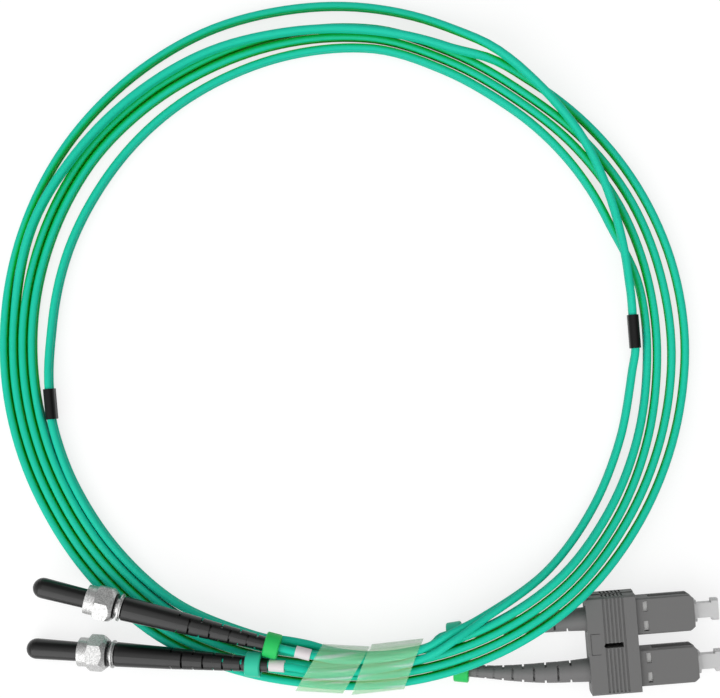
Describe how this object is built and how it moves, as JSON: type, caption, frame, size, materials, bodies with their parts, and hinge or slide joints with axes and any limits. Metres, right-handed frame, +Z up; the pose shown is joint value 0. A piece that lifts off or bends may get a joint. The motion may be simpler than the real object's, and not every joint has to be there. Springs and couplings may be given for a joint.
{
  "type": "fiber optic patch cord",
  "caption": "Coiled duplex fibre patch cord: threaded metal connectors with rubber caps at one end, a clipped pair of square push-pull plugs with dust caps at the other.",
  "frame": {"origin": "centre of the underside of the duplex clip, on the surface that the cord lies on", "axes": "+X is the way the SC plugs mate, +Y across the two plugs, +Z up out of the underside of the clip"},
  "size_m": [0.1726, 0.1766, 0.0147],
  "materials": {
    "jacket": "smooth PVC, soft sheen",
    "sc_grey": "fine moulded texture",
    "frame_grey": "moulded",
    "sc_boot_grey": "soft satin",
    "zirconia": "polished ceramic",
    "nickel": "nickel plated, turned",
    "steel": "ground",
    "crimp": "satin",
    "buffer": "satin",
    "cap_clear": "translucent moulded",
    "black_rubber": "satin",
    "black_sleeve": "shrunk film",
    "white_sleeve": "smooth",
    "ring_green": "moulded",
    "ring_teal": "moulded",
    "tape": "clear film"
  },
  "bodies": {
    "cord": {"sc_a_plug_frame": "frame_grey", "sc_a_spring": "steel", "sc_a_rear_post": "nickel", "sc_a_crimp_ring": "crimp", "sc_a_boot": "sc_boot_grey", "sc_a_colour_ring": "ring_teal", "sc_a_tail": "jacket", "sc_b_plug_frame": "frame_grey", "sc_b_spring": "steel", "sc_b_rear_post": "nickel", "sc_b_crimp_ring": "crimp", "sc_b_boot": "sc_boot_grey", "sc_b_colour_ring": "ring_green", "sc_b_tail": "jacket", "sma_a_body": "nickel", "sma_a_ferrule": "steel", "sma_a_collar": "nickel", "sma_a_crimp_ring": "crimp", "sma_a_fibre": "buffer", "sma_a_boot": "black_rubber", "sma_a_colour_ring": "ring_green", "sma_a_marker": "white_sleeve", "sma_a_tail": "jacket", "sma_b_body": "nickel", "sma_b_ferrule": "steel", "sma_b_collar": "nickel", "sma_b_crimp_ring": "crimp", "sma_b_fibre": "buffer", "sma_b_boot": "black_rubber", "sma_b_colour_ring": "ring_teal", "sma_b_marker": "white_sleeve", "sma_b_tail": "jacket", "zip_cord": "jacket", "split_sleeve_sc": "black_sleeve", "split_sleeve_sma": "black_sleeve", "tape_wrap_left": "tape", "tape_wrap_right": "tape"},
    "grips": {"clip_top": "sc_grey", "clip_bottom": "sc_grey", "sc_a_grip": "sc_grey", "sc_b_grip": "sc_grey"},
    "sc_a_ferrule_group": {"sc_a_ferrule": "zirconia", "sc_a_ferrule_holder": "nickel", "sc_a_fibre": "buffer"},
    "sc_a_cap": {"sc_a_dust_cap": "cap_clear"},
    "sc_b_ferrule_group": {"sc_b_ferrule": "zirconia", "sc_b_ferrule_holder": "nickel", "sc_b_fibre": "buffer"},
    "sc_b_cap": {"sc_b_dust_cap": "cap_clear"},
    "sma_a_slider": {"sma_a_washer": "black_rubber"},
    "sma_a_nut": {"sma_a_coupling_nut": "nickel"},
    "sma_a_cap": {"sma_a_rubber_cap": "black_rubber"},
    "sma_b_slider": {"sma_b_washer": "black_rubber"},
    "sma_b_nut": {"sma_b_coupling_nut": "nickel"},
    "sma_b_cap": {"sma_b_rubber_cap": "black_rubber"}
  },
  "joints": [
    {"name": "grips_slide", "type": "slide", "parent": "cord", "child": "grips", "axis": [1, 0, 0], "range_m": [-0.002, 0]},
    {"name": "sc_a_ferrule_float", "type": "slide", "parent": "cord", "child": "sc_a_ferrule_group", "axis": [1, 0, 0], "range_m": [-0.002, 0], "stiffness_N_per_m": 900, "springref_m": 0.004, "deforming": ["sc_a_spring"]},
    {"name": "sc_a_cap_pull", "type": "slide", "parent": "cord", "child": "sc_a_cap", "axis": [1, 0, 0], "range_m": [0, 0.015]},
    {"name": "sc_b_ferrule_float", "type": "slide", "parent": "cord", "child": "sc_b_ferrule_group", "axis": [1, 0, 0], "range_m": [-0.002, 0], "stiffness_N_per_m": 900, "springref_m": 0.004, "deforming": ["sc_b_spring"]},
    {"name": "sc_b_cap_pull", "type": "slide", "parent": "cord", "child": "sc_b_cap", "axis": [1, 0, 0], "range_m": [0, 0.015]},
    {"name": "sma_a_nut_slide", "type": "slide", "parent": "cord", "child": "sma_a_slider", "axis": [-0.9477, 0.3189, -0.0105], "range_m": [-0.0007, 0.0001]},
    {"name": "sma_a_nut_turn", "type": "hinge", "parent": "sma_a_slider", "child": "sma_a_nut", "pos_m": [-0.12483, 0.02048, 0.00869], "axis": [-0.9477, 0.3189, -0.0105], "continuous": true},
    {"name": "sma_a_cap_pull", "type": "slide", "parent": "cord", "child": "sma_a_cap", "axis": [-0.9477, 0.3189, -0.0105], "range_m": [0, 0.02]},
    {"name": "sma_b_nut_slide", "type": "slide", "parent": "cord", "child": "sma_b_slider", "axis": [-0.9861, 0.1333, -0.0993], "range_m": [-0.0007, 0.0001]},
    {"name": "sma_b_nut_turn", "type": "hinge", "parent": "sma_b_slider", "child": "sma_b_nut", "pos_m": [-0.12835, 0.00773, 0.0048], "axis": [-0.9861, 0.1333, -0.0993], "continuous": true},
    {"name": "sma_b_cap_pull", "type": "slide", "parent": "cord", "child": "sma_b_cap", "axis": [-0.9861, 0.1333, -0.0993], "range_m": [0, 0.02]}
  ]
}
